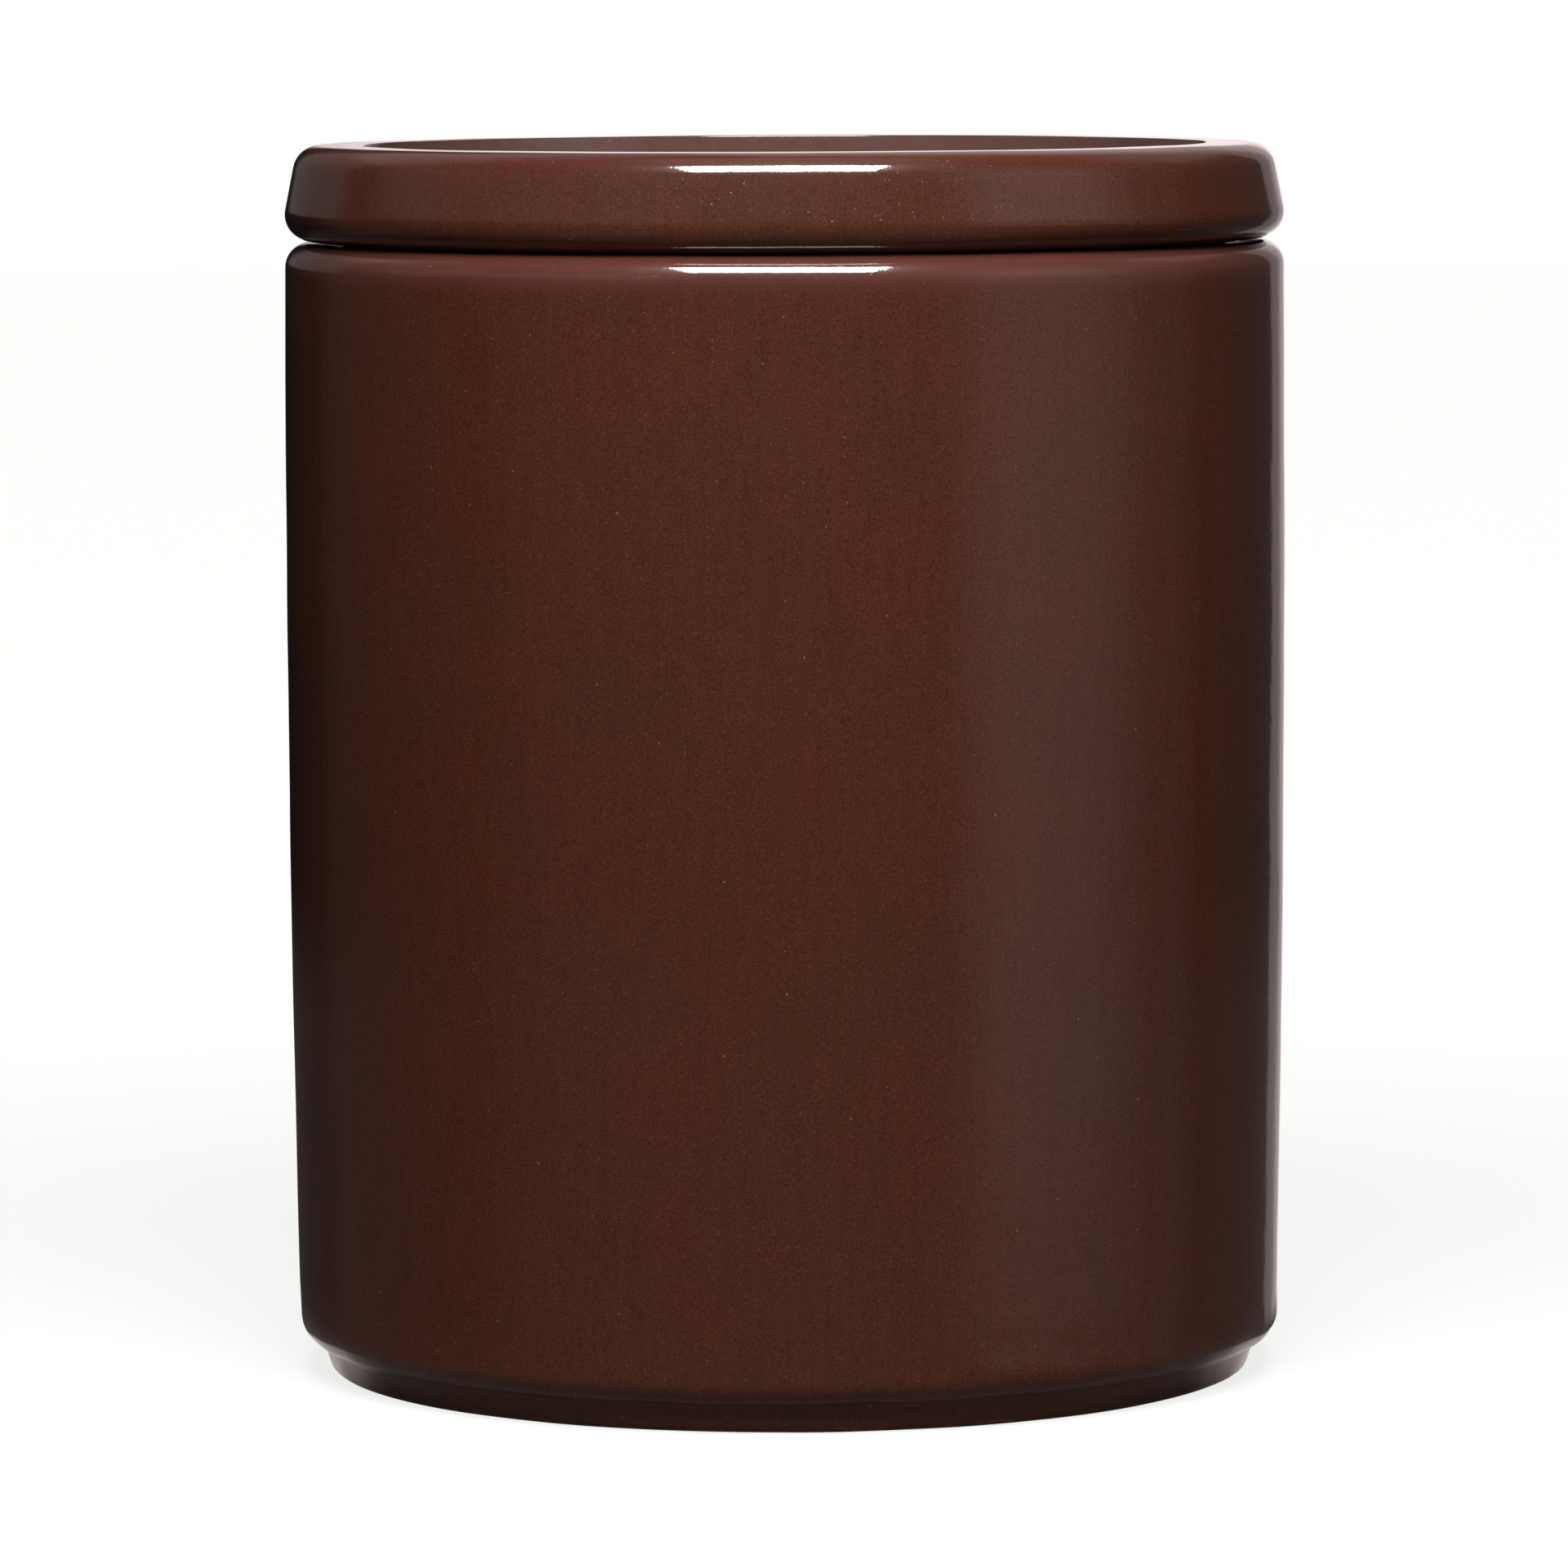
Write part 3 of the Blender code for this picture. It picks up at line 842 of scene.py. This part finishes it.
class JAR_OT_seal(bpy.types.Operator):
    """Build the silicone seal ring in place of its CAD solid"""

    bl_idname = "jar.seal"
    bl_label = "Silicone seal ring"

    def execute(self, context):
        outline = seal_outline(context.scene.jar_seal)
        mesh = turned_mesh("silicone_seal", stepped(outline, closed=True), closed=True)
        material = milky_silicone(context.scene.jar_silicone)
        new_piece(mesh, material, "seal_ring", "seal")
        return {"FINISHED"}


def studio_world():
    """White to the camera. To the glaze, a dark room with the cards in it.

    A card is a patch of directions: radiance S(|azimuth - its own|) S(|elevation - its own|), where S
    falls smoothly from 1 to 0 across its edge.
    """
    world = bpy.data.worlds.new("white_studio")
    world.use_nodes = True
    tree = world.node_tree
    tree.nodes.clear()
    view = add_node(tree, "TexCoord").outputs["Generated"]
    axes = add_node(tree, "SeparateXYZ", {0: view})
    level = add_node(tree, "CombineXYZ", {"X": axes.outputs["X"], "Y": axes.outputs["Y"]})
    compass = add_node(tree, "VectorMath", {0: level.outputs["Vector"]}, operation="NORMALIZE")
    rise = add_node(tree, "Math", {0: axes.outputs["Z"]}, operation="ARCSINE")
    total = DARK_ROOM
    for azimuth, width, azimuth_edge, elevation, tall, elevation_edge, radiance, warmth in CARDS:
        bearing = math.radians(azimuth)
        towards = (math.sin(bearing), -math.cos(bearing), 0.0)
        facing = add_node(tree, "VectorMath", {
            0: compass.outputs["Vector"], 1: towards,
        }, operation="DOT_PRODUCT")
        aside = add_node(tree, "Math", {0: facing.outputs["Value"]}, operation="ARCCOSINE")
        across = add_node(tree, "MapRange", {
            "Value": aside.outputs["Value"],
            "From Min": math.radians(width - azimuth_edge / 2),
            "From Max": math.radians(width + azimuth_edge / 2 + SLIVER),
            "To Min": 1.0, "To Max": 0.0,
        }, interpolation_type="SMOOTHSTEP")
        above = add_node(tree, "Math", {
            0: rise.outputs["Value"], 1: math.radians(elevation),
        }, operation="SUBTRACT")
        off = add_node(tree, "Math", {0: above.outputs["Value"]}, operation="ABSOLUTE")
        upright = add_node(tree, "MapRange", {
            "Value": off.outputs["Value"],
            "From Min": math.radians(tall - elevation_edge / 2),
            "From Max": math.radians(tall + elevation_edge / 2),
            "To Min": radiance, "To Max": 0.0,
        }, interpolation_type="SMOOTHSTEP")
        shown = add_node(tree, "Math", {
            0: across.outputs["Result"], 1: upright.outputs["Result"],
        }, operation="MULTIPLY")
        total = add_node(tree, "VectorMath", {
            0: shown.outputs["Value"], 1: tuple(1.0 + warmth * part for part in WARM), 2: total,
        }, operation="MULTIPLY_ADD").outputs["Vector"]
    path = add_node(tree, "LightPath")
    seen = add_node(tree, "Mix", {
        "Factor": path.outputs["Is Camera Ray"], "A": total, "B": (1.0, 1.0, 1.0, 1.0),
    }, data_type="RGBA")
    light = add_node(tree, "Background", {"Color": seen.outputs["Result"]})
    add_node(tree, "OutputWorld", {"Surface": light.outputs["Background"]})
    return world


def softbox(name, look, aside, elevation, power, glossy):
    """Rectangular softbox before the lid and above it.

    One is mirrored by the glaze and another lights the surfaces, so that each has its own place.
    """
    data = bpy.data.lights.new(name, "AREA")
    data.shape = "RECTANGLE"
    data.size = look.key_width
    data.size_y = look.key_height
    data.energy = power
    lamp = new_object(name, data)
    back = look.key_distance * math.cos(elevation) + AIM_FRONT
    up = look.key_distance * math.sin(elevation) + AIM_LEVEL
    tilt = Matrix.Rotation(math.pi / 2 - elevation, 4, "X")
    lamp.matrix_world = Matrix.Translation((aside, -back, up)) @ tilt
    lamp.visible_camera = False
    lamp.visible_glossy = glossy
    lamp.visible_diffuse = not glossy


def pale_floor(look):
    """Table top that stays white to the camera except close to the jar, where its glow dims in a
    painted shade and its matt grey takes the jar's shadow.

    The glaze mirrors a dark table close to the jar and past it the cards, through a faint painted
    sheen, with a
    painted glint in the gap beside the foot: both are a glow that only glossy rays see. From below, and
    under the foot, the table is clear.
    """
    material, tree = new_material("pale_matt_table_top")
    place = add_node(tree, "TexCoord").outputs["Object"]
    axes = add_node(tree, "SeparateXYZ", {0: place})
    distance = add_node(tree, "VectorMath", {0: place}, operation="LENGTH").outputs["Value"]
    path = add_node(tree, "LightPath")
    side = add_node(tree, "NewGeometry")
    clear = add_node(tree, "BsdfTransparent")

    # To the camera: a glow that dims beside the jar in a painted shade, and a grey that takes the jar's
    # shadow.
    glow = add_node(tree, "MapRange", {
        "Value": distance, "From Min": look.dim_end, "From Max": look.full_start, "To Min": look.dim,
    }, interpolation_type="SMOOTHSTEP")
    lit = add_node(tree, "Emission", {"Color": look.pale, "Strength": glow.outputs["Result"]})
    matt = add_node(tree, "BsdfDiffuse", {"Color": (look.matt, look.matt, look.matt, 1.0)})
    white = add_node(tree, "AddShader", {0: lit.outputs["Emission"], 1: matt.outputs["BSDF"]})

    # To every other ray: a dark grey close to the jar that gives way to the room.
    bounce = add_node(tree, "MapRange", {
        "Value": path.outputs["Is Diffuse Ray"], "To Min": look.mirrored, "To Max": look.bounced,
    })
    grey = add_node(tree, "BsdfDiffuse", {"Color": bounce.outputs["Result"]})
    past = add_node(tree, "MapRange", {
        "Value": distance, "From Min": look.grey_end, "From Max": look.open_start,
    }, interpolation_type="SMOOTHSTEP")
    table = add_node(tree, "MixShader", {
        0: past.outputs["Result"], 1: grey.outputs["BSDF"], 2: clear.outputs["BSDF"],
    })

    # To the glaze also: the painted sheen and the painted glint, a glow that only glossy rays see.
    sheen = add_node(tree, "MapRange", {
        "Value": distance, "From Min": look.sheen_end, "From Max": look.far_start,
        "To Min": look.sheen, "To Max": 0.0,
    }, interpolation_type="SMOOTHSTEP")
    gap = add_node(tree, "MapRange", {
        "Value": distance, "From Min": look.glint_end, "From Max": look.gap_end,
        "To Min": look.glint, "To Max": 0.0,
    })
    beside = add_node(tree, "MapRange", {
        "Value": axes.outputs["Y"], "From Min": look.glint_front, "From Max": look.glint_back,
    }, interpolation_type="SMOOTHSTEP")
    gleam = add_node(tree, "Math", {
        0: gap.outputs["Result"], 1: beside.outputs["Result"], 2: sheen.outputs["Result"],
    }, operation="MULTIPLY_ADD")
    mirrored = add_node(tree, "Math", {
        0: gleam.outputs["Value"], 1: path.outputs["Is Glossy Ray"],
    }, operation="MULTIPLY")
    shining = add_node(tree, "Emission", {
        "Color": look.blush, "Strength": mirrored.outputs["Value"],
    })
    around = add_node(tree, "AddShader", {
        0: table.outputs["Shader"], 1: shining.outputs["Emission"],
    })

    above = add_node(tree, "MixShader", {
        0: path.outputs["Is Camera Ray"], 1: around.outputs["Shader"], 2: white.outputs["Shader"],
    })
    under_foot = add_node(tree, "Math", {
        0: distance, 1: look.under_foot,
    }, operation="LESS_THAN")
    hidden = add_node(tree, "Math", {
        0: side.outputs["Backfacing"], 1: under_foot.outputs["Value"],
    }, operation="MAXIMUM")
    mixed = add_node(tree, "MixShader", {
        0: hidden.outputs["Value"], 1: above.outputs["Shader"], 2: clear.outputs["BSDF"],
    })
    add_node(tree, "OutputMaterial", {"Surface": mixed.outputs["Shader"]})

    reach = look.reach
    mesh = bpy.data.meshes.new("floor")
    corners = [(-reach, -reach, 0), (reach, -reach, 0), (reach, reach, 0), (-reach, reach, 0)]
    mesh.from_pydata(corners, [], [(0, 1, 2, 3)])
    mesh.materials.append(material)
    floor = new_object("floor", mesh)


class JAR_OT_studio(bpy.types.Operator):
    """Set up the camera, the softboxes, the white surroundings and the table top"""

    bl_idname = "jar.studio"
    bl_label = "White studio"

    def execute(self, context):
        scene = context.scene
        look = scene.jar_studio
        scene.view_settings.view_transform = "Standard"
        scene.world = studio_world()

        data = bpy.data.cameras.new("camera")
        data.sensor_width = 36.0
        data.lens = look.lens
        data.clip_start = 0.05
        data.clip_end = 20.0
        camera = new_object("camera", data)
        tilt = Matrix.Rotation(math.pi / 2 - look.camera_tilt, 4, "X")
        roll = Matrix.Rotation(look.camera_roll, 4, "Z")
        place = Matrix.Translation((-look.camera_aside, -look.camera_distance, look.camera_height))
        camera.matrix_world = place @ tilt @ roll
        scene.camera = camera

        softbox(
            "key_seen_in_the_glaze", look,
            look.gloss_aside, look.gloss_elevation, look.gloss_power, glossy=True,
        )
        softbox(
            "key_on_the_surfaces", look,
            look.fill_aside, look.fill_elevation, look.fill_power, glossy=False,
        )
        pale_floor(scene.jar_table)
        return {"FINISHED"}


class JAR_PT_panel(bpy.types.Panel):
    """Lists the pieces, their sizes and their finishes"""

    bl_idname = "JAR_PT_panel"
    bl_label = "Storage jar"
    bl_space_type = "VIEW_3D"
    bl_region_type = "UI"
    bl_category = "Jar"

    def draw(self, context):
        layout = self.layout
        for operator, groups in STEPS.items():
            box = layout.box()
            box.operator(operator)
            for group in groups:
                values = getattr(context.scene, group)
                for name in values.__annotations__:
                    box.prop(values, name)


STEPS = {
    "jar.studio": ("jar_studio", "jar_table"),
    "jar.body": ("jar_body", "jar_glaze"),
    "jar.lid": ("jar_lid",),
    "jar.seal": ("jar_seal", "jar_silicone"),
}

GROUPS = {
    "jar_studio": StudioLook,
    "jar_table": TableLook,
    "jar_body": BodySizes,
    "jar_lid": LidSizes,
    "jar_seal": SealSizes,
    "jar_glaze": GlazeLook,
    "jar_silicone": SiliconeLook,
}

CLASSES = (*GROUPS.values(), JAR_OT_studio, JAR_OT_body, JAR_OT_lid, JAR_OT_seal, JAR_PT_panel)


def register():
    for item in CLASSES:
        bpy.utils.register_class(item)
    for name, group in GROUPS.items():
        setattr(bpy.types.Scene, name, PointerProperty(type=group))


def unregister():
    for name in GROUPS:
        delattr(bpy.types.Scene, name)
    for item in reversed(CLASSES):
        bpy.utils.unregister_class(item)


def main():
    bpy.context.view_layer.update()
    register()
    bpy.ops.jar.studio()
    bpy.ops.jar.body()
    bpy.ops.jar.lid()
    bpy.ops.jar.seal()


if __name__ == "__main__":
    main()
